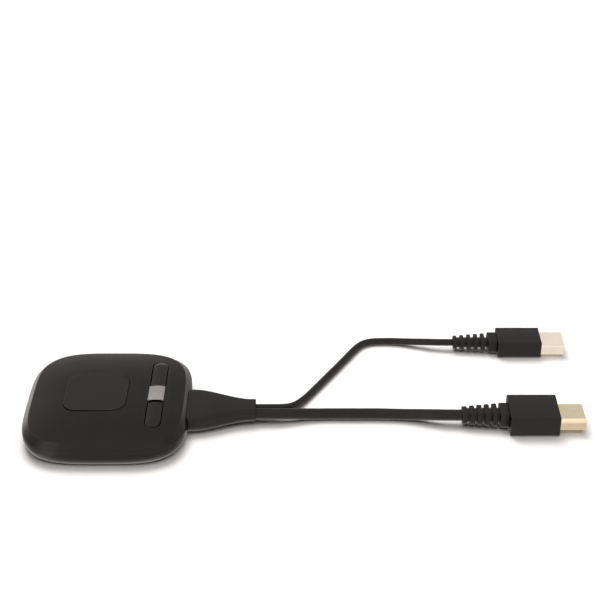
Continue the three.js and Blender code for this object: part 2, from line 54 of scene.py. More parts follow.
# Puck
HALF_X, HALF_Y = 35.2, 36.0
TOP_Z = 13.0
SQUARENESS = 3.9
BASE_SQUARENESS = 3.6
CREASE_INSET, CREASE_Z, CREASE_DROP = 2.6, 10.2, 0.35
DOME_POWER = 2.8
WALL = 1.6
SEAM_LOW, SEAM_HIGH = 6.57, 6.63
TUCK_INSET, TUCK_TOP, TUCK_DEPTH = 2.0, 5.0, 4.6
BASE_INSET, BASE_Z = 2.3, 0.4
CEILING_INSET = 4.4
SCREW_SPREAD = 23.5
BOSS_RADIUS, BOSS_BORE_RADIUS = 2.5, 1.15
TOWER_RADIUS, TOWER_BORE_RADIUS = 3.5, 1.3
CLAMP_X, CLAMP_SPREAD = 27, 9.5
POST_RADIUS, POST_BORE_RADIUS = 2.2, 0.95
FOOT_RADIUS, FOOT_TOP, FOOT_RECESS_RADIUS = 4.5, 0.7, 4.8

# Button and slide control
BUTTON = (-4.85, -0.45)
BUTTON_WIDTH, BUTTON_CORNER = 26.6, 6.0
BUTTON_TOP, BUTTON_GAP = 13.05, 0.25
SLIDE = (20.85, -0.7)
RAIL = (20.85, 0.3)
RAIL_WIDTH, RAIL_LENGTH = 6.28, 47.45
RAIL_LOW, RAIL_CROWN = 8.9, 0.45
SLOT_GAP = 0.33
KNOB_INNER, KNOB_OUTER, KNOB_LENGTH = 3.18, 3.37, 10.3
KNOB_LOW, KNOB_UNDER, KNOB_EDGE = 10.95, 12.29, 12.5
KNOB_UNDER_ARCH, KNOB_ARCH = 0.45, 0.42
KNOB_LEG_HALF = 3.8

# Strain relief and leads
RELIEF = (-2.25, 4.6)
RELIEF_END = 63.35
RELIEF_GAP = 0.12
FLARE_START, FLARE_LENGTH = 36, 26
HDMI_LEAD, USB_LEAD = 4.9, 3.2


# ---------------------------------------------------------------- camera and leads

camera_data = bpy.data.cameras.new("camera")
camera_data.lens, camera_data.sensor_width = 83.22, 36
camera = bpy.data.objects.new("camera", camera_data)
camera.location = (0.08245, -0.48745, 0.3576)
camera.rotation_euler = (math.radians(90 - 31.5), 0, 0)
bpy.context.collection.objects.link(camera)
bpy.context.scene.camera = camera
bpy.context.scene.view_settings.view_transform = "Standard"

HDMI_ROUTE = [
    (61.5, -4.7, 4.4), (65, -4.7, 4.4), (68.5, -4.7, 4.4), (73, -4.5, 4.2), (78, -3.9, 3.8),
    (83.3, -3.0, 3.15), (88.5, -2.4, 2.65), (94.5, -2.1, 2.47), (101.5, -2.1, 2.47), (108.5, -2.1, 2.47),
    (116, -2.1, 2.47), (123, -2.4, 2.47), (128.2, -2.9, 2.7), (133.3, -3.8, 3.3), (138.4, -4.9, 4.05),
    (143.5, -5.8, 4.6), (148, -6.1, 4.75), (153.2, -6.1, 4.75),
]
USB_ROUTE = [
    (61.5, -0.2, 4.4), (64.5, -0.2, 4.4), (67.5, -0.2, 4.4), (71.3, 0.1, 4.2), (74.5, 0.8, 3.75),
    (77.3, 2.0, 3.2), (79.9, 4.0, 2.6), (82.3, 6.9, 2.1), (85.1, 11.0, 1.75), (88.7, 16.9, 1.62),
    (94.1, 26.0, 1.62), (99.6, 35.3, 1.62), (104.3, 43.4, 1.62), (107.2, 48.4, 1.62), (109.6, 52.0, 1.62),
    (112.4, 54.6, 1.62), (115.9, 56.0, 1.62), (120.4, 56.4, 1.62), (125.2, 56.3, 1.7), (130, 55.6, 2.0),
    (135, 54.5, 2.6), (140.3, 53.3, 3.3), (145.6, 52.3, 3.8), (149.8, 51.9, 4.0), (154.6, 51.9, 4.0),
]


def lead(name, route, diameter, node):
    """A round lead along its route, as one open curve.

    The points' radii carry its thickness, because a curve's bounds are padded by them.
    """
    curve = bpy.data.curves.new(name, "CURVE")
    curve.dimensions = "3D"
    curve.bevel_depth = 1
    curve.bevel_resolution = 7
    curve.resolution_u = 10
    curve.use_fill_caps = True
    spline = curve.splines.new("BEZIER")
    spline.bezier_points.add(len(route) - 1)
    for point, place in zip(spline.bezier_points, route):
        point.co = Vector(place) * MM
        point.radius = diameter / 2 * MM
        point.handle_left_type = point.handle_right_type = "AUTO"
    piece = bpy.data.objects.new(name, curve)
    bpy.context.collection.objects.link(piece)
    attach(piece, "housing")
    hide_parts(node)
    return piece


hdmi_lead = lead("hdmi_lead", HDMI_ROUTE, HDMI_LEAD, "hdmi_cable")
usb_lead = lead("usb_lead", USB_ROUTE, USB_LEAD, "usb_cable")


# ---------------------------------------------------------------- materials

PLASTIC_SPECULAR = 0.3


class Nodes:
    """Builds one procedural material around a Principled shader."""

    def __init__(self, name, **constants):
        self.material = bpy.data.materials.new(name)
        self.material.use_nodes = True
        self.tree = self.material.node_tree
        self.shader = self.tree.nodes["Principled BSDF"]
        for key, value in constants.items():
            self.shader.inputs[key.replace("_", " ")].default_value = value
        self.place = self.tree.nodes.new("ShaderNodeTexCoord").outputs["Object"]

    def node(self, kind, links=None, **settings):
        made = self.tree.nodes.new("ShaderNode" + kind)
        for key, value in settings.items():
            setattr(made, key, value)
        for key, value in (links or {}).items():
            if isinstance(value, bpy.types.NodeSocket):
                self.tree.links.new(value, made.inputs[key])
            else:
                made.inputs[key].default_value = value
        return made

    def stretched(self, x, y, z):
        return self.node("Mapping", {"Vector": self.place, "Scale": (x, y, z)}).outputs["Vector"]

    def noise(self, size, detail=3, vector=None):
        """Noise whose features are about size millimetres across."""
        links = {"Vector": vector or self.place, "Scale": 1000 / size, "Detail": detail}
        return self.node("TexNoise", links).outputs["Fac"]

    def between(self, factor, low, high, start=0.3, end=0.7):
        links = {"Value": factor, "From Min": start, "From Max": end, "To Min": low, "To Max": high}
        return self.node("MapRange", links).outputs["Result"]

    def tint(self, factor, *colors):
        """Base colour that runs through the given colours as factor rises."""
        ramp = self.node("ValToRGB", {"Fac": factor})
        stops = ramp.color_ramp.elements
        while len(stops) < len(colors):
            stops.new(0.5)
        for i, color in enumerate(colors):
            stops[i].position = 0.3 + 0.4 * i / (len(colors) - 1)
            stops[i].color = (*color, 1)
        self.tree.links.new(ramp.outputs["Color"], self.shader.inputs["Base Color"])

    def gloss(self, factor, low, high):
        """Roughness between two values as factor rises."""
        self.tree.links.new(self.between(factor, low, high), self.shader.inputs["Roughness"])

    def relief(self, factor, depth):
        """Bump of about depth millimetres."""
        bump = self.node("Bump", {"Height": factor, "Strength": 1, "Distance": depth * MM})
        self.tree.links.new(bump.outputs["Normal"], self.shader.inputs["Normal"])


def moulded(name, color, lighter, gloss, grain, depth):
    """Moulded plastic or rubber: faint clouding, uneven gloss and a fine grain."""
    made = Nodes(name, Specular_IOR_Level=PLASTIC_SPECULAR)
    made.tint(made.noise(9, 4), color, lighter)
    made.gloss(made.noise(3.5, 5), *gloss)
    made.relief(made.noise(grain, 2), depth)
    return made.material


def polished_black(name, color, lighter, gloss):
    """Polished plastic with faint wiping marks and a little long-wave unevenness."""
    made = Nodes(name, Specular_IOR_Level=PLASTIC_SPECULAR)
    made.tint(made.noise(14, 3), color, lighter)
    wiped = made.noise(1.2, 4, made.stretched(0.15, 1, 1))
    made.gloss(wiped, *gloss)
    made.relief(made.noise(9, 1), 0.002)
    return made.material


def plated(name, color, tarnish, gloss, along=(0.04, 1, 1), metallic=1.0):
    """Metal with fine drawing lines in one direction and slight tarnish."""
    made = Nodes(name, Metallic=metallic)
    made.tint(made.noise(6, 3), color, tarnish)
    drawn = made.noise(0.3, 2, made.stretched(*along))
    made.gloss(drawn, *gloss)
    made.relief(drawn, 0.0002)
    return made.material


def circuit_mask():
    """Green solder mask over raised tracks, with plated dots."""
    made = Nodes("board_mask", Roughness=0.35)
    tracks = made.node("TexBrick", {
        "Vector": made.place, "Scale": 220, "Color1": (1, 1, 1, 1), "Color2": (0.8, 0.8, 0.8, 1),
        "Mortar": (0, 0, 0, 1), "Mortar Size": 0.03, "Brick Width": 1.4, "Row Height": 0.4,
    }).outputs["Fac"]
    dots = made.node("TexVoronoi", {"Vector": made.place, "Scale": 300}).outputs["Distance"]
    pads = made.between(dots, 1, 0, 0.12, 0.16)
    made.tint(tracks, (0.012, 0.07, 0.035), (0.03, 0.14, 0.07))
    mixed = made.node("Mix", data_type="RGBA")
    made.tree.links.new(pads, mixed.inputs["Factor"])
    base = made.shader.inputs["Base Color"].links[0].from_socket
    made.tree.links.new(base, mixed.inputs[6])
    mixed.inputs[7].default_value = (0.75, 0.6, 0.3, 1)
    made.tree.links.new(mixed.outputs[2], made.shader.inputs["Base Color"])
    made.relief(tracks, 0.03)
    return made.material


shell_black = polished_black(
    "shell_black", (0.003, 0.0028, 0.0027), (0.004, 0.0037, 0.0035), (0.08, 0.13))
button_black = polished_black(
    "button_black", (0.007, 0.005, 0.0045), (0.0085, 0.006, 0.0055), (0.2, 0.27))
rail_black = polished_black(
    "rail_black", (0.0055, 0.005, 0.005), (0.007, 0.0062, 0.006), (0.13, 0.2))
lead_black = moulded(
    "lead_black", (0.004, 0.0038, 0.0036), (0.006, 0.0055, 0.005), (0.36, 0.48), 0.35, 0.006)
relief_black = moulded(
    "relief_black", (0.004, 0.0038, 0.0036), (0.006, 0.0055, 0.005), (0.4, 0.5), 0.3, 0.004)
plug_black = moulded(
    "plug_black", (0.005, 0.0045, 0.004), (0.007, 0.0065, 0.006), (0.36, 0.48), 0.22, 0.003)
foot_black = moulded(
    "foot_black", (0.012, 0.012, 0.012), (0.02, 0.02, 0.02), (0.7, 0.85), 0.4, 0.03)
dark_resin = moulded(
    "dark_resin", (0.012, 0.012, 0.012), (0.02, 0.02, 0.02), (0.35, 0.5), 0.2, 0.01)
pale_resin = moulded("pale_resin", (0.72, 0.7, 0.64), (0.8, 0.78, 0.72), (0.35, 0.5), 0.2, 0.01)
thermal_grey = moulded(
    "thermal_grey", (0.3, 0.34, 0.38), (0.38, 0.42, 0.46), (0.7, 0.85), 0.5, 0.04)
gold_plate = plated("gold_plate", (0.72, 0.65, 0.46), (0.68, 0.60, 0.41), (0.2, 0.26))
nickel_plate = plated("nickel_plate", (0.95, 0.88, 0.76), (0.91, 0.84, 0.71), (0.22, 0.28))
knob_metal = plated(
    "knob_metal", (0.272, 0.259, 0.249), (0.252, 0.239, 0.229), (0.42, 0.5), (1, 0.06, 1), metallic=0.5)
contact_metal = plated("contact_metal", (0.83, 0.65, 0.3), (0.75, 0.56, 0.25), (0.18, 0.28))
steel_plate = plated("steel_plate", (0.66, 0.66, 0.66), (0.56, 0.56, 0.57), (0.24, 0.36))
spreader_metal = plated(
    "spreader_metal", (0.8, 0.8, 0.82), (0.7, 0.7, 0.72), (0.3, 0.42), (1, 0.05, 1))
board_mask = circuit_mask()

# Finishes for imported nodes, by material slot
INNER_FINISH = {
    "board_green": board_mask, "chip_black": dark_resin, "thermal_silicone": thermal_grey,
    "spreader_aluminium": spreader_metal, "wire_jacket": lead_black, "inner_plastic": dark_resin,
    "bright_steel": steel_plate, "pale_insulator": pale_resin, "dark_insulator": dark_resin,
    "contact_gold": contact_metal, "foot_rubber": foot_black,
}
node_slots = {part["node"]: part["material_slot"] for part in frame["record"]["subparts"]}
for node_name, node_object in frame["nodes"].items():
    finish = INNER_FINISH.get(node_slots.get(node_name))
    if finish:
        node_object.data.materials.clear()
        node_object.data.materials.append(finish)


# ---------------------------------------------------------------- outlines and profiles


def rounded_polygon(points, radius, steps=6):
    """Returns a function of offset that gives a convex polygon's outline with rounded corners."""
    points = np.array(points, float)

    def outline(offset=0.0):
        found = []
        turned = max(radius + offset, 0.02)
        for before, corner, after in zip(np.roll(points, 1, 0), points, np.roll(points, -1, 0)):
            normals = []
            for start, end in ((before, corner), (corner, after)):
                along = (end - start) / np.linalg.norm(end - start)
                normals.append(np.array([along[1], -along[0]]))
            mitre = (normals[0] + normals[1]) / (1 + normals[0] @ normals[1])
            centre = corner + mitre * (offset - turned)
            first, last = (math.atan2(n[1], n[0]) for n in normals)
            last += TAU if last < first else 0
            for angle in np.linspace(first, last, steps + 1):
                found.append(centre + turned * np.array([math.cos(angle), math.sin(angle)]))
        return np.array(found)

    return outline


def rectangle(width, height):
    u, v = width / 2, height / 2
    return [(u, -v), (u, v), (-u, v), (-u, -v)]


def cut_rectangle(width, height, cut):
    """A rectangle with its four corners cut off."""
    u, v = width / 2, height / 2
    return [
        (u, cut - v), (u, v - cut), (u - cut, v), (cut - u, v),
        (-u, v - cut), (-u, cut - v), (cut - u, -v), (u - cut, -v),
    ]


def circle(radius, count=48):
    angles = np.arange(count) * TAU / count
    return lambda offset=0.0: (radius + offset) * np.stack([np.cos(angles), np.sin(angles)], 1)


def even_angles(count):
    """Angles that spread points evenly along the puck's outline."""
    fine = np.linspace(0, TAU, 20001)
    line = squircle(0, SQUARENESS, fine)
    run = np.concatenate([[0], np.cumsum(np.linalg.norm(np.diff(line, axis=0), axis=1))])
    return np.interp(np.arange(count) / count * run[-1], run, fine)


def squircle(inset, squareness=SQUARENESS, angles=None):
    angles = ANGLES if angles is None else angles
    c, s = np.cos(angles), np.sin(angles)
    power = 2 / squareness
    x = (HALF_X - inset) * np.sign(c) * np.abs(c) ** power
    y = (HALF_Y - inset) * np.sign(s) * np.abs(s) ** power
    return np.stack([x, y], 1)


ANGLES = even_angles(224)


def soften(profile, closed=False, steps=4):
    """Rounds the corners of a profile of (offset, position, radius) and keeps its flats flat."""
    points = [np.array(p[:2], float) for p in profile]
    count = len(points)
    made = []
    for i, (corner, item) in enumerate(zip(points, profile)):
        at_end = not closed and i in (0, count - 1)
        radius = item[2] if len(item) > 2 else 0
        if at_end or radius == 0:
            made.append(corner)
            continue
        arms = [points[i - 1] - corner, points[(i + 1) % count] - corner]
        lengths = [np.linalg.norm(arm) for arm in arms]
        arms = [arm / length for arm, length in zip(arms, lengths)]
        opening = math.acos(np.clip(arms[0] @ arms[1], -1, 1))
        cut = min(radius / math.tan(opening / 2), 0.4 * min(lengths))
        start, end = (corner + arm * cut for arm in arms)
        made.append(corner + arms[0] * cut * 1.2)
        for t in np.linspace(0, 1, steps + 1):
            made.append((1 - t) ** 2 * start + 2 * t * (1 - t) * corner + t**2 * end)
        made.append(corner + arms[1] * cut * 1.2)
    return [tuple(p) for p in made]


# ---------------------------------------------------------------- meshes

SHARP_DEGREES = 32


def loft(rings, closed=False, caps=(True, True)):
    """Faces through rings of equal length; the ends are capped, or joined where closed."""
    count, levels = len(rings[0]), len(rings)
    faces = []
    for level in range(levels if closed else levels - 1):
        low, high = level * count, ((level + 1) % levels) * count
        for i in range(count):
            j = (i + 1) % count
            faces.append((low + i, low + j, high + j, high + i))
    if not closed and caps[0]:
        faces.append(tuple(reversed(range(count))))
    if not closed and caps[1]:
        faces.append(tuple(range((levels - 1) * count, levels * count)))
    return np.vstack(rings), faces


def stack(outline, profile, centre=(0, 0), along="z", closed=False):
    """A solid whose outline grows and shrinks along z or x as the profile says."""
    rings = []
    for offset, position in profile:
        flat = outline(offset) + np.array(centre)
        level = np.full((len(flat), 1), position)
        rings.append(np.hstack([flat, level] if along == "z" else [level, flat]))
    return loft(rings, closed)


def joined(*parts):
    verts, faces, start = [], [], 0
    for part_verts, part_faces in parts:
        verts.append(part_verts)
        faces += [tuple(start + i for i in face) for face in part_faces]
        start += len(part_verts)
    return np.vstack(verts), faces


def shade(mesh):
    mesh.shade_smooth()
    mesh.set_sharp_from_angle(angle=math.radians(SHARP_DEGREES))


def build(name, shape):
    """A mesh object from vertices in millimetres, welded and facing outwards."""
    verts, faces = shape
    mesh = bpy.data.meshes.new(name)
    mesh.from_pydata((verts * MM).tolist(), [], faces)
    work = bmesh.new()
    work.from_mesh(mesh)
    bmesh.ops.remove_doubles(work, verts=work.verts, dist=2e-6)
    bmesh.ops.dissolve_degenerate(work, edges=work.edges, dist=1e-7)
    bmesh.ops.recalc_face_normals(work, faces=work.faces)
    work.to_mesh(mesh)
    work.free()
    shade(mesh)
    piece = bpy.data.objects.new(name, mesh)
    bpy.context.collection.objects.link(piece)
    return piece


def applied(piece):
    """Bakes a piece's modifiers into its mesh."""
    evaluated = piece.evaluated_get(bpy.context.evaluated_depsgraph_get())
    mesh = bpy.data.meshes.new_from_object(evaluated)
    piece.modifiers.clear()
    piece.data = mesh
    shade(mesh)
    return piece


def carve(piece, add=(), cut=()):
    """Joins the added solids to a piece, then cuts the others from it."""
    helpers = []
    for operation, shapes in (("UNION", add), ("DIFFERENCE", cut)):
        for shape in shapes:
            helper = build("helper", shape)
            helpers.append(helper)
            modifier = piece.modifiers.new("boolean", "BOOLEAN")
            modifier.operation, modifier.solver, modifier.object = operation, "EXACT", helper
    applied(piece)
    for helper in helpers:
        bpy.data.objects.remove(helper)
    return piece


def bevelled(piece, width, segments):
    modifier = piece.modifiers.new("bevel", "BEVEL")
    modifier.width, modifier.segments = width * MM, segments
    modifier.limit_method, modifier.angle_limit = "ANGLE", math.radians(40)
    modifier.harden_normals = True
    return applied(piece)


def block(x, y, z):
    """A plain cuboid used for cutting and joining."""
    corners = [(x[0], y[0]), (x[1], y[0]), (x[1], y[1]), (x[0], y[1])]
    rings = [np.array([(*corner, height) for corner in corners], float) for height in z]
    return loft(rings)


def rod(x, y, radius, z, count=32):
    return stack(circle(radius, count), [(0, z[0]), (0, z[1])], (x, y))


def finish_piece(piece, material, slot, *nodes, body="housing"):
    """Gives a piece its material and body, and hides the nodes it stands in for. The slot argument is not
    used.
    """
    piece.data.materials.clear()
    piece.data.materials.append(material)
    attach(piece, body)
    if nodes:
        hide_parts(*nodes)
    return piece


# ---------------------------------------------------------------- puck


def dome_z(x, y):
    """Height of the puck's crowned top."""
    u = np.abs(x / (HALF_X - CREASE_INSET)) ** SQUARENESS
    v = np.abs(y / (HALF_Y - CREASE_INSET)) ** SQUARENESS
    reach = (u + v) ** (1 / SQUARENESS)
    corner = 4 * u * v / np.maximum(u + v, 1e-9) ** 2
    rim = CREASE_Z - CREASE_DROP * corner
    return rim + (TOP_Z - rim) * (1 - reach**DOME_POWER)


def ceiling_z(x, y):
    """Height of the inside of the puck's top."""
    return dome_z(x, y) - WALL


def lifted(flat, height):
    """Puts a flat outline at a height, given as a number or as a function of x and y."""
    z = height(flat[:, 0], flat[:, 1]) if callable(height) else np.full(len(flat), float(height))
    return np.column_stack([flat, z])


def puck_rings(places):
    """The puck's outline at each pair of inset and height."""
    return [lifted(squircle(inset), z) for inset, z in places]


def inside(points, loop):
    """Which points lie inside a closed outline."""
    x, y = points[:, 0, None], points[:, 1, None]
    (x0, y0), (x1, y1) = loop.T, np.roll(loop, -1, 0).T
    crosses = (y0 > y) != (y1 > y)
    with np.errstate(divide="ignore", invalid="ignore"):
        hits = crosses & (x < (x1 - x0) * (y - y0) / (y1 - y0) + x0)
    return hits.sum(1) % 2 == 1


def sheet(outer, holes, fill, height, guard=0.7):
    """A triangulated surface inside one outline and outside others."""
    for hole in holes:
        middle = hole.mean(0)
        reach = np.linalg.norm(hole - middle, axis=1, keepdims=True)
        fill = fill[~inside(fill, middle + (hole - middle) * (1 + guard / reach))]
    loops = [outer, *holes]
    edges, start = [], 0
    for loop in loops:
        edges += [(start + i, start + (i + 1) % len(loop)) for i in range(len(loop))]
        start += len(loop)
    points = [Vector(p) for p in np.vstack([*loops, fill])]
    found = delaunay_2d_cdt(points, edges, [], 0, 1e-6)
    flat, triangles = np.array([tuple(p) for p in found[0]]), np.array(found[2])
    middles = flat[triangles].mean(1)
    keep = inside(middles, outer)
    for hole in holes:
        keep &= ~inside(middles, hole)
    return lifted(flat, height), [tuple(t) for t in triangles[keep]]


def grid_points(inset, spacing=2.2):
    """Points that fill the puck's outline, in rings."""
    rings = []
    reach = HALF_X - inset
    for radius in np.arange(spacing, reach - 0.6 * spacing, spacing):
        count = max(8, int(TAU * radius / spacing))
        rings.append(squircle(inset, SQUARENESS, np.arange(count) * TAU / count) * radius / reach)
    return np.vstack(rings + [np.zeros((1, 2))])


button_outline = rounded_polygon(rectangle(BUTTON_WIDTH, BUTTON_WIDTH), BUTTON_CORNER, 14)
rail_outline = rounded_polygon(rectangle(RAIL_WIDTH, RAIL_LENGTH), RAIL_WIDTH / 2 - 0.005, 14)
screw_places = [
    (x * SCREW_SPREAD, y * SCREW_SPREAD) for x, y in ((1, 1), (-1, 1), (-1, -1), (1, -1))
]


def hole_rings(outline, gap, centre):
    """The rounded lip and the wall of an opening, from the top down to the ceiling."""
    lip = 0.05
    turns = np.radians([0, 22, 45, 68, 90])
    steps = [(0.45, 0), (0.2, 0)]
    steps += [(lip * (1 - math.sin(a)), lip * (1 - math.cos(a))) for a in turns]
    steps += [(0, lip + 0.08), (0, WALL)]
    return [
        lifted(outline(gap + out) + np.array(centre), lambda x, y, down=down: dome_z(x, y) - down)
        for out, down in steps
    ]


def side_rings():
    """The polished side from the seam to the crease, and the crease's small round."""
    start, low, high = np.array([(0, 6.95), (0, 7.25), (1.62, 8.95)])
    end = np.array([CREASE_INSET - 0.09, CREASE_Z - 0.115])
    dip = CREASE_DROP * np.sin(2 * ANGLES) ** 2
    rings = []
    for t in np.linspace(0, 1, 9):
        u = 1 - t
        inset, z = u**3 * start + 3 * t * u**2 * low + 3 * t**2 * u * high + t**3 * end
        rings.append(np.column_stack([squircle(inset), z - t**1.5 * dip]))
    for inward, down in ((-0.03, 0.035), (0.03, 0.006)):
        rings.append(np.column_stack([squircle(CREASE_INSET + inward), CREASE_Z - down - dip]))
    rings += puck_rings([(CREASE_INSET + inward, dome_z) for inward in (0.13, 0.4)])
    return rings


def neck_window():
    """The opening in the puck's right side for the strain relief's neck."""
    half = 9.8
    return block((30, 38), (RELIEF[0] - half, RELIEF[0] + half), (2.3, 7.6))


def puck_top():
    """The upper shell: crowned top with two openings, polished side and screw bosses."""
    openings = [(button_outline, BUTTON_GAP, BUTTON), (rail_outline, SLOT_GAP, RAIL)]
    walls = [hole_rings(*opening) for opening in openings]
    side = side_rings()
    rim = puck_rings([
        (CEILING_INSET, ceiling_z), (3.4, 8.7), (WALL + 0.1, 7.4), (WALL, SEAM_HIGH), (0.05, SEAM_HIGH),
        (0.015, SEAM_HIGH + 0.015), (0, SEAM_HIGH + 0.05),
    ])
    crown = sheet(side[-1][:, :2], [wall[0][:, :2] for wall in walls], grid_points(3.0), dome_z)
    ceiling = sheet(
        squircle(CEILING_INSET), [wall[-1][:, :2] for wall in walls], grid_points(CEILING_INSET, 3.5),
        ceiling_z, 0.4)
    tubes = [loft(tube, caps=(False, False)) for tube in (rim + side, *walls)]
    piece = build("puck_top", joined(tubes[0], crown, ceiling, *tubes[1:]))
    bosses = [rod(x, y, BOSS_RADIUS, (5.0, 9.4)) for x, y in screw_places]
    bores = [rod(x, y, BOSS_BORE_RADIUS, (4, 8.5)) for x, y in screw_places]
    slot = stack(rail_outline, [(SLOT_GAP, 8.7), (SLOT_GAP, 9.6)], RAIL)
    return carve(piece, add=bosses, cut=[*bores, slot, neck_window()])


def puck_bottom():
    """The lower shell: tucked-in underside, foot recesses, screw towers and cable clamp posts."""
    base = squircle(BASE_INSET, BASE_SQUARENESS)
    rings = [lifted(base, BASE_Z)]
    for degrees in np.linspace(90, 0, 13):
        a = math.radians(degrees)
        squareness = SQUARENESS + (BASE_SQUARENESS - SQUARENESS) * degrees / 90
        outline = squircle(TUCK_INSET * (1 - math.cos(a)), squareness)
        rings.append(lifted(outline, TUCK_TOP - TUCK_DEPTH * math.sin(a)))
    rings += puck_rings([
        (0, 5.8), (0, SEAM_LOW - 0.05), (0.015, SEAM_LOW - 0.015), (0.05, SEAM_LOW), (WALL, SEAM_LOW),
        (WALL, 5.0), (2.2, 3.0), (3.4, 2.1), (4.2, 2.0),
    ])
    recess_outline = circle(FOOT_RECESS_RADIUS)
    recess_profile = [(0, BASE_Z), (0, 0.9), (-2.6, 0.9), (-2.6, 2.3), (-3.5, 2.3)]
    recesses = [
        [lifted(recess_outline(out) + np.array(centre), z) for out, z in recess_profile]
        for centre in screw_places
    ]
    under = sheet(base, [recess[0][:, :2] for recess in recesses], grid_points(3.2, 5), BASE_Z, 1.0)
    tubes = [loft(tube, caps=(False, True)) for tube in (rings, *recesses)]
    piece = build("puck_bottom", joined(tubes[0], under, *tubes[1:]))
    clamp_places = [(CLAMP_X, RELIEF[0] + side * CLAMP_SPREAD) for side in (-1, 1)]
    towers = [rod(x, y, TOWER_RADIUS, (1.8, 3.4)) for x, y in screw_places]
    posts = [rod(x, y, POST_RADIUS, (1.8, 5.6)) for x, y in clamp_places]
    saddle = block((25.6, 27.6), (RELIEF[0] - 6.5, RELIEF[0] + 6.5), (1.8, 2.7))
    bores = [rod(x, y, TOWER_BORE_RADIUS, (2.1, 4)) for x, y in screw_places]
    bores += [rod(x, y, POST_BORE_RADIUS, (2.8, 6)) for x, y in clamp_places]
    return carve(piece, add=[*towers, *posts, saddle], cut=[*bores, neck_window()])


def button_cap():
    """The hollow button, with a flange that keeps it in its opening and a stem for the switch."""
    profile = soften([
        (-4, 11.9), (-1.2, 11.9, 0.2), (-1.2, 9.6, 0.1), (1.0, 9.6, 0.15), (1.0, 10.3, 0.15),
        (0, 10.3, 0.1), (0, BUTTON_TOP, 0.25), (-2, BUTTON_TOP),
    ])
    piece = build("button_cap", stack(button_outline, profile, BUTTON))
    return carve(piece, add=[rod(*BUTTON, 2.0, (8.2, 12.2))])


def rail_z(y):
    """Height of the puck's crown along the rail."""
    return dome_z(np.full_like(y, RAIL[0]), y)


def slide_rail():
    """The rail, held by a leg near each end.

    Its top follows the puck's crown lengthwise and is rounded across.
    """
    half = RAIL_WIDTH / 2

    def ring(inset, down=0.0):
        flat = rail_outline(-inset) + np.array(RAIL)
        crown = 0.05 + RAIL_CROWN * (1 - (1 - inset / half) ** 2) - down
        return np.column_stack([flat, rail_z(flat[:, 1]) + crown])

    rings = [lifted(rail_outline(-inset) + np.array(RAIL), RAIL_LOW) for inset in (1.5, 0)]
    edge = [(0, 0.5), (0, 0.2), (0.012, 0.12), (0.05, 0.055), (0.12, 0.015), (0.2, 0)]
    rings += [ring(inset, down) for inset, down in edge]
    rings += [ring(inset) for inset in (0.35, 0.6, 1.0, 1.5, 2.0, 2.5, 2.9, half - 0.02)]
    piece = build("slide_rail", loft(rings))
    legs = []
    for low, high in ((20.5, 23.0), (-23.0, -20.5)):
        legs.append(block((RAIL[0] - 2.9, RAIL[0] - 0.6), (RAIL[1] + low, RAIL[1] + high), (5.0, 9.2)))
    return carve(piece, add=legs)


def slide_knob():
    """The arched saddle, with softened ends and a leg down each side of the rail."""
    inner, outer, low = KNOB_INNER, KNOB_OUTER, KNOB_LOW
    across = np.linspace(-0.975, 0.975, 17)
    under = [(inner * a, KNOB_UNDER + KNOB_UNDER_ARCH * (1 - a * a)) for a in np.linspace(1, -1, 17)]

    def ring(y, drop):
        edge = KNOB_EDGE - drop
        top = [(outer * a, edge + KNOB_ARCH * (1 - a * a)) for a in across]
        right = [(outer - 0.02, edge - 0.03), (outer, edge - 0.09), (outer, low), (inner, low)]
        left = [(-x, z) for x, z in reversed(right)]
        section = np.array([*top, *right, *under, *left])
        x, z = section[:, 0], section[:, 1]
        return np.column_stack([SLIDE[0] + x, np.full(len(x), SLIDE[1] + y), z])

    half = KNOB_LENGTH / 2
    ends = [(half, 0.15), (half - 0.3, 0)]
    rings = [ring(y, drop) for y, drop in ends] + [ring(-y, drop) for y, drop in reversed(ends)]
    knob = build("slide_saddle", loft(rings))
    legs = []
    for side in (-1, 1):
        x = sorted((SLIDE[0] + side * inner, SLIDE[0] + side * outer))
        legs.append(block(x, (SLIDE[1] - KNOB_LEG_HALF, SLIDE[1] + KNOB_LEG_HALF), (7.6, 11.2)))
    return carve(knob, add=legs)


def foot_pad(index, centre):
    """A rubber foot, stuck over a screw's recess."""
    profile = soften([(-3, 0), (0, 0, 0.25), (0, FOOT_TOP, 0.1), (-3, FOOT_TOP)])
    piece = build(f"foot_pad_{index}", stack(circle(FOOT_RADIUS, 56), profile, centre))
    return finish_piece(piece, foot_black, "foot_rubber", f"foot_{index}")


finish_piece(puck_top(), shell_black, "gloss_black", "top_shell")
finish_piece(puck_bottom(), shell_black, "gloss_black", "bottom_shell")
finish_piece(button_cap(), button_black, "button_black", "main_button", body="button")
finish_piece(slide_rail(), rail_black, "gloss_black", "slider_rail")
finish_piece(slide_knob(), knob_metal, "slider_metal", "slider_knob", body="slider")
for number, place in enumerate(screw_places, 1):
    foot_pad(number, place)


# ---------------------------------------------------------------- strain relief

# Width, height and corner radius where the leads come out, and what the flare adds to each
RELIEF_NARROW = np.array([11.5, 6.2, 2.8])
RELIEF_SPREAD = np.array([12.7, 1.8, 0.7])


def side_inset(z):
    """How far the puck's side stands in from its widest line at a height."""
    if z < TUCK_TOP:
        return TUCK_INSET * (1 - math.sqrt(max(0, 1 - ((TUCK_TOP - z) / TUCK_DEPTH) ** 2)))
    return float(np.interp(z, [5, 6.9, 7.4, 8.4, CREASE_Z], [0, 0, 0.2, 1.0, CREASE_INSET]))


def wall_x(y, z):
    """Where the puck's right side is, at a place across and a height."""
    inset = side_inset(z)
    return (HALF_X - inset) * (1 - abs(y / (HALF_Y - inset)) ** SQUARENESS) ** (1 / SQUARENESS)


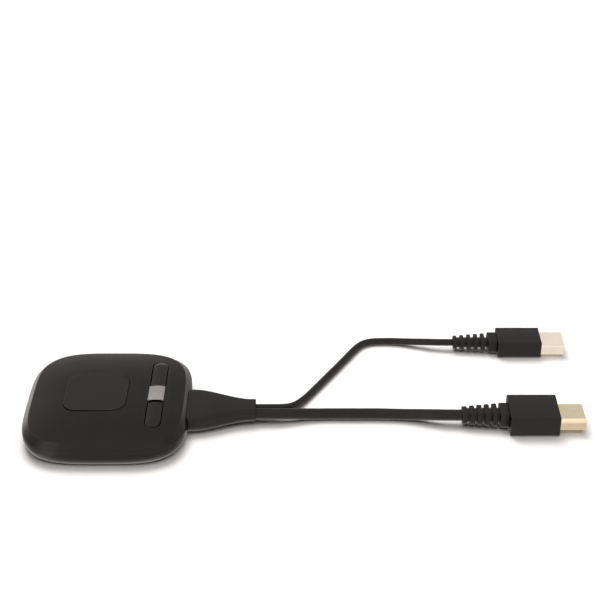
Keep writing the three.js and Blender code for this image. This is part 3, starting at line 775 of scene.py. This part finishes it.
def relief_outline(x):
    """Rounded section of the strain relief, wide at the puck and narrow at the leads."""
    t = np.clip((x - FLARE_START) / FLARE_LENGTH, 0, 1)
    flare = 1 - t * t * (3 - 2 * t)
    width, height, corner = RELIEF_NARROW + RELIEF_SPREAD * flare
    return rounded_polygon(rectangle(width, height), corner, 12)


def strain_relief():
    """Flange and neck inside the puck, then the flared body that ends where the leads come out."""

    def ring(outline, x=None):
        """A section at x, or just off the puck's side where x isn't given."""
        flat = outline + np.array(RELIEF)
        places = [wall_x(*p) + RELIEF_GAP for p in flat] if x is None else np.full(len(flat), x)
        return np.column_stack([places, flat])

    neck = rounded_polygon(rectangle(19, 4.6), 1.5, 12)(0) + np.array([0, 0.35])
    flange = rounded_polygon(rectangle(22.6, 5.7), 0.4, 12)(0) + np.array([0, 0.55])
    wide = relief_outline(34)
    rings = [ring(flange, 29.5), ring(flange, 31.5), ring(neck, 31.5), ring(neck, 33.0)]
    rings += [ring(neck), ring(wide(-0.2)), ring(wide(-0.05)), ring(wide(0)) + [0.05, 0, 0]]
    rings += [ring(relief_outline(x)(0), x) for x in np.linspace(36.2, RELIEF_END - 0.7, 22)]
    last = relief_outline(RELIEF_END)
    for inset, back in ((0, 0.25), (0.04, 0.1), (0.12, 0.02), (0.22, 0), (0.6, 0)):
        rings.append(ring(last(-inset), RELIEF_END - back))
    return build("strain_relief", loft(rings))


relief_piece = finish_piece(strain_relief(), relief_black, "cord_rubber", "cable_boot")


# ---------------------------------------------------------------- plugs

RIBS = 5
BODY_CHAMFER = 0.6
BODY_OVERLAP = 0.3
SHELL_DEPTH = 7


def ribbed_boot(name, centre, start, pitch, length, end, ribs, core, collar):
    """Ribs that grow along a core, then a collar, as one solid with rounded edges.

    A size is a width, a height and a corner radius; ribs gives the first rib's and the last's.
    """
    rings = []

    def section(size, x, inset=0.0):
        flat = rounded_polygon(rectangle(*size[:2]), size[2], 8)(-inset) + np.array(centre)
        rings.append(np.column_stack([np.full(len(flat), x), flat]))

    def disc(size, low, high, edge):
        for out, along in ((1.4, 0), (1, 0), (0.45, 0.1), (0.12, 0.45), (0, 1)):
            section(size, low + edge * along, edge * out)
        for out, along in ((0, 1), (0.12, 0.45), (0.45, 0.1), (1, 0), (1.4, 0)):
            section(size, high - edge * along, edge * out)

    first, last = np.array(ribs, float)
    for rib in range(RIBS):
        low = start + rib * pitch
        disc(first + (last - first) * rib / (RIBS - 1), low, low + length, 0.42)
        section(core, low + length)
        section(core, low + length + 0.08)
        section(core, low + pitch - 0.08)
        section(core, low + pitch)
    disc(collar, start + RIBS * pitch, end, 0.3)
    return build(name, loft(rings))


def plug_body(name, centre, size, x, pocket, pocket_centre):
    """The moulded grip, with a pocket that the metal shell sits in."""
    outline = rounded_polygon(cut_rectangle(*size, BODY_CHAMFER), 0.3, 3)
    profile = soften([(-2.5, x[0]), (0, x[0], 0.35), (0, x[1], 0.35), (-1.0, x[1])])
    piece = build(name, stack(outline, profile, centre, "x"))
    hole = stack(pocket, [(0.3, x[1] - SHELL_DEPTH - 0.3), (0.3, x[1] + 3)], pocket_centre, "x")
    return carve(piece, cut=[hole])


def plug_shell(name, centre, outline, wall, x):
    """The sheet-metal sleeve, open at both ends."""
    profile = soften([
        (-wall, x[0], 0.1), (0, x[0], 0.1), (0, x[1], 0.22), (-wall, x[1], 0.08)], closed=True)
    return build(name, stack(outline, profile, centre, "x", closed=True))


HDMI_CENTRE, USB_CENTRE = (-6.1, 4.75), (51.9, 4.0)
HDMI_SHELL, USB_SHELL = (-6.45, 4.5), (51.55, 3.75)
HDMI_START, USB_START = 172.1, 173.95
HDMI_END, USB_END = 192.85, 193.6
HDMI_TIP, USB_TIP = 204.0, 204.35
hdmi_corners = [
    (6.95, -2.225), (6.95, 1.425), (4.85, 2.225), (-4.85, 2.225), (-6.95, 1.425), (-6.95, -2.225)
]
hdmi_outline = rounded_polygon(hdmi_corners, 0.25, 6)
usb_outline = rounded_polygon(rectangle(12, 4.5), 0.25, 8)

hdmi_boot = finish_piece(
    ribbed_boot(
        "hdmi_ribs", HDMI_CENTRE, start=151.9, pitch=3.2, length=2.05, end=HDMI_START - BODY_OVERLAP,
        ribs=[(8, 6, 2.4), (10.5, 7, 2.4)], core=(6.2, 5.3, 2.2), collar=(10.8, 7.2, 2.0)),
    relief_black, "cord_rubber", "hdmi_plug_boot")
usb_boot = finish_piece(
    ribbed_boot(
        "usb_ribs", USB_CENTRE, start=153.4, pitch=3.2, length=1.7, end=USB_START - BODY_OVERLAP,
        ribs=[(6.8, 5, 2), (8.8, 6.2, 2)], core=(4.8, 4.2, 1.8), collar=(9.6, 6.6, 1.8)),
    relief_black, "cord_rubber", "usb_plug_boot")
hdmi_body = finish_piece(
    plug_body(
        "hdmi_body", HDMI_CENTRE, (18, 9.5), (HDMI_START - BODY_OVERLAP, HDMI_END), hdmi_outline,
        HDMI_SHELL),
    plug_black, "plug_plastic", "hdmi_plug_body")
usb_body = finish_piece(
    plug_body(
        "usb_body", USB_CENTRE, (14, 8), (USB_START - BODY_OVERLAP, USB_END), usb_outline, USB_SHELL),
    plug_black, "plug_plastic", "usb_plug_body")
hdmi_shell = finish_piece(
    plug_shell("hdmi_shell", HDMI_SHELL, hdmi_outline, 0.35, (HDMI_END - SHELL_DEPTH, HDMI_TIP)),
    gold_plate, "gold_shell", "hdmi_plug_shell")
usb_shell = finish_piece(
    plug_shell("usb_shell", USB_SHELL, usb_outline, 0.3, (USB_END - SHELL_DEPTH, USB_TIP)),
    nickel_plate, "nickel_shell", "usb_plug_shell")


def insert(name, outline, centre, gap, low, high):
    """The moulded lining of a plug's shell, before its mouth is cut."""
    profile = soften([(-1.5, low), (-gap, low, 0.1), (-gap, high, 0.15), (-1.5, high)])
    return build(name, stack(outline, profile, centre, "x"))


def hdmi_insert():
    y, z = HDMI_SHELL
    piece = insert("hdmi_insert", hdmi_outline, HDMI_SHELL, 0.45, HDMI_END - 6.5, HDMI_TIP - 1.6)
    return carve(piece, cut=[block((HDMI_END + 2, HDMI_TIP), (y - 5, y + 5), (z - 1.1, z + 0.9))])


def usb_insert():
    y, z = USB_SHELL
    piece = insert("usb_insert", usb_outline, USB_SHELL, 0.4, USB_END - 6.5, USB_TIP - 0.8)
    return carve(piece, cut=[block((USB_END + 2, USB_TIP + 1), (y - 9, y + 9), (z - 0.1, z + 3))])


def strip(x, y, z):
    """A thin contact with its front end rolled down."""
    low, high = z
    length = x[1] - x[0]
    nose = low + 0.3 * (high - low)
    section = [(0, low), (length, low), (length, nose), (length - 0.5, high), (0, high)]
    rings = [np.array([(x[0] + along, side, height) for along, height in section]) for side in y]
    return loft(rings)


def hdmi_contacts():
    """Ten contacts above the mouth and nine below it, a millimetre apart."""
    y, z = HDMI_SHELL
    span = (HDMI_END + 2.1, HDMI_TIP - 1.9)
    strips = []
    for count, base, face in ((10, z + 0.9, z + 0.72), (9, z - 1.1, z - 0.92)):
        for i in range(count):
            middle = y + (i - (count - 1) / 2)
            strips.append(strip(span, (middle - 0.22, middle + 0.22), (base, face)))
    return build("hdmi_contacts", joined(*strips))


def usb_contacts():
    """Four contacts on the tongue."""
    pieces = []
    for number, offset in enumerate((-3.5, -1, 1, 3.5), 1):
        y, z = USB_SHELL[0] + offset, USB_SHELL[1] - 0.1
        shape = strip((USB_END + 2.6, USB_TIP - 1.6), (y - 0.5, y + 0.5), (z, z + 0.3))
        piece = bevelled(build(f"usb_strip_{number}", shape), 0.06, 2)
        pieces.append(finish_piece(piece, contact_metal, "contact_gold", f"usb_contact_{number}"))
    return pieces


hdmi_lining = finish_piece(hdmi_insert(), dark_resin, "dark_insulator", "hdmi_contact_carrier")
usb_lining = finish_piece(usb_insert(), pale_resin, "pale_insulator", "usb_contact_carrier")
hdmi_strips = finish_piece(hdmi_contacts(), contact_metal, "contact_gold")
usb_strips = usb_contacts()

for piece in (hdmi_lead, usb_lead):
    piece.data.materials.append(lead_black)


# ---------------------------------------------------------------- floor and light

# The surround's brightness from front to back, and its factors from left to right and from low to high
SKY_DEPTH = [
    (-1, 0.98), (-0.5, 1.25), (-0.2, 1.15), (0, 0.98), (0.3, 1.04), (0.55, 0.78), (0.85, 0.64), (1, 0.6)
]
SKY_SIDES = [(-1, 0.75), (-0.85, 0.85), (-0.55, 1.6), (-0.35, 1.1), (-0.15, 1), (0.5, 0.97), (1, 0.8)]
SKY_HEIGHT = [
    (-1, 2.3), (-0.95, 1.5), (-0.82, 0.9), (-0.6, 0.75), (-0.35, 1), (-0.1, 1.5), (0.1, 1.25), (0.3, 1),
    (1, 0.97)
]
CURVE_TOP = 4


def floor():
    """A plain pale floor that the puck's reflections leave out."""
    mesh = bpy.data.meshes.new("floor")
    corners = [(-4, -4, 0), (4, -4, 0), (4, 4, 0), (-4, 4, 0)]
    mesh.from_pydata(corners, [], [(0, 1, 2, 3)])
    made = bpy.data.objects.new("floor", mesh)
    bpy.context.collection.objects.link(made)
    paint = Nodes("floor_paint", Roughness=0.9, Specular_IOR_Level=0.1)
    paint.tint(paint.noise(60, 3), (0.86, 0.83, 0.815), (0.88, 0.85, 0.835))
    mesh.materials.append(paint.material)
    made.visible_glossy = False


def curve_node(tree, socket, points):
    """A smooth curve through points placed from -1 to 1, giving their values over CURVE_TOP."""
    made = tree.nodes.new("ShaderNodeFloatCurve")
    curve = made.mapping.curves[0].points
    for _ in points[2:]:
        curve.new(0.5, 0.5)
    for point, (place, level) in zip(curve, points):
        point.location = ((place + 1) / 2, level / CURVE_TOP)
    made.mapping.update()
    centred = tree.nodes.new("ShaderNodeMath")
    centred.operation = "MULTIPLY_ADD"
    tree.links.new(socket, centred.inputs[0])
    centred.inputs[1].default_value = centred.inputs[2].default_value = 0.5
    tree.links.new(centred.outputs["Value"], made.inputs["Value"])
    return made.outputs["Value"]


def sky():
    """A soft surround for reflections, dim at the back and bright at the front and the left."""
    world = bpy.data.worlds.new("studio")
    bpy.context.scene.world = world
    world.use_nodes = True
    world.cycles_visibility.diffuse = False
    tree = world.node_tree
    background = tree.nodes["Background"]
    background.inputs["Color"].default_value = (1.0, 0.93, 0.9, 1)
    split = tree.nodes.new("ShaderNodeSeparateXYZ")
    tree.links.new(tree.nodes.new("ShaderNodeTexCoord").outputs["Generated"], split.inputs["Vector"])
    level = CURVE_TOP**3
    for axis, points in (("Y", SKY_DEPTH), ("X", SKY_SIDES), ("Z", SKY_HEIGHT)):
        product = tree.nodes.new("ShaderNodeMath")
        product.operation = "MULTIPLY"
        tree.links.new(curve_node(tree, split.outputs[axis], points), product.inputs[0])
        if isinstance(level, bpy.types.NodeSocket):
            tree.links.new(level, product.inputs[1])
        else:
            product.inputs[1].default_value = level
        level = product.outputs["Value"]
    tree.links.new(level, background.inputs["Strength"])


def softbox(name, place, aim, size, power, receivers=()):
    """A round lamp that lights matt surfaces, or with receivers one that they alone reflect."""
    light = bpy.data.lights.new(name, "AREA")
    light.shape, light.size, light.energy = "DISK", size, power
    made = bpy.data.objects.new(name, light)
    made.visible_glossy = bool(receivers)
    made.visible_diffuse = not receivers
    if receivers:
        made.light_linking.receiver_collection = bpy.data.collections.new(name + "_receivers")
        for piece in receivers:
            made.light_linking.receiver_collection.objects.link(piece)
    made.location = place
    made.rotation_euler = (Vector(aim) - Vector(place)).to_track_quat("-Z", "Y").to_euler()
    bpy.context.collection.objects.link(made)


floor()
sky()
softbox("key", (-0.12, 0.62, 0.95), (0.09, 0.02, 0), 0.8, 13)
softbox("fill", (0.09, -0.1, 1.6), (0.09, 0, 0), 2.5, 26)
softbox("card", (0.36, 0.75, 0.5), (0.2, 0.02, 0), 0.9, 0.52, receivers=(hdmi_shell, usb_shell))
softbox(
    "overhead_card", (0.25, 0.27, 0.9), (0.2, 0.02, 0), 0.55, 0.4, receivers=(hdmi_shell, usb_shell))
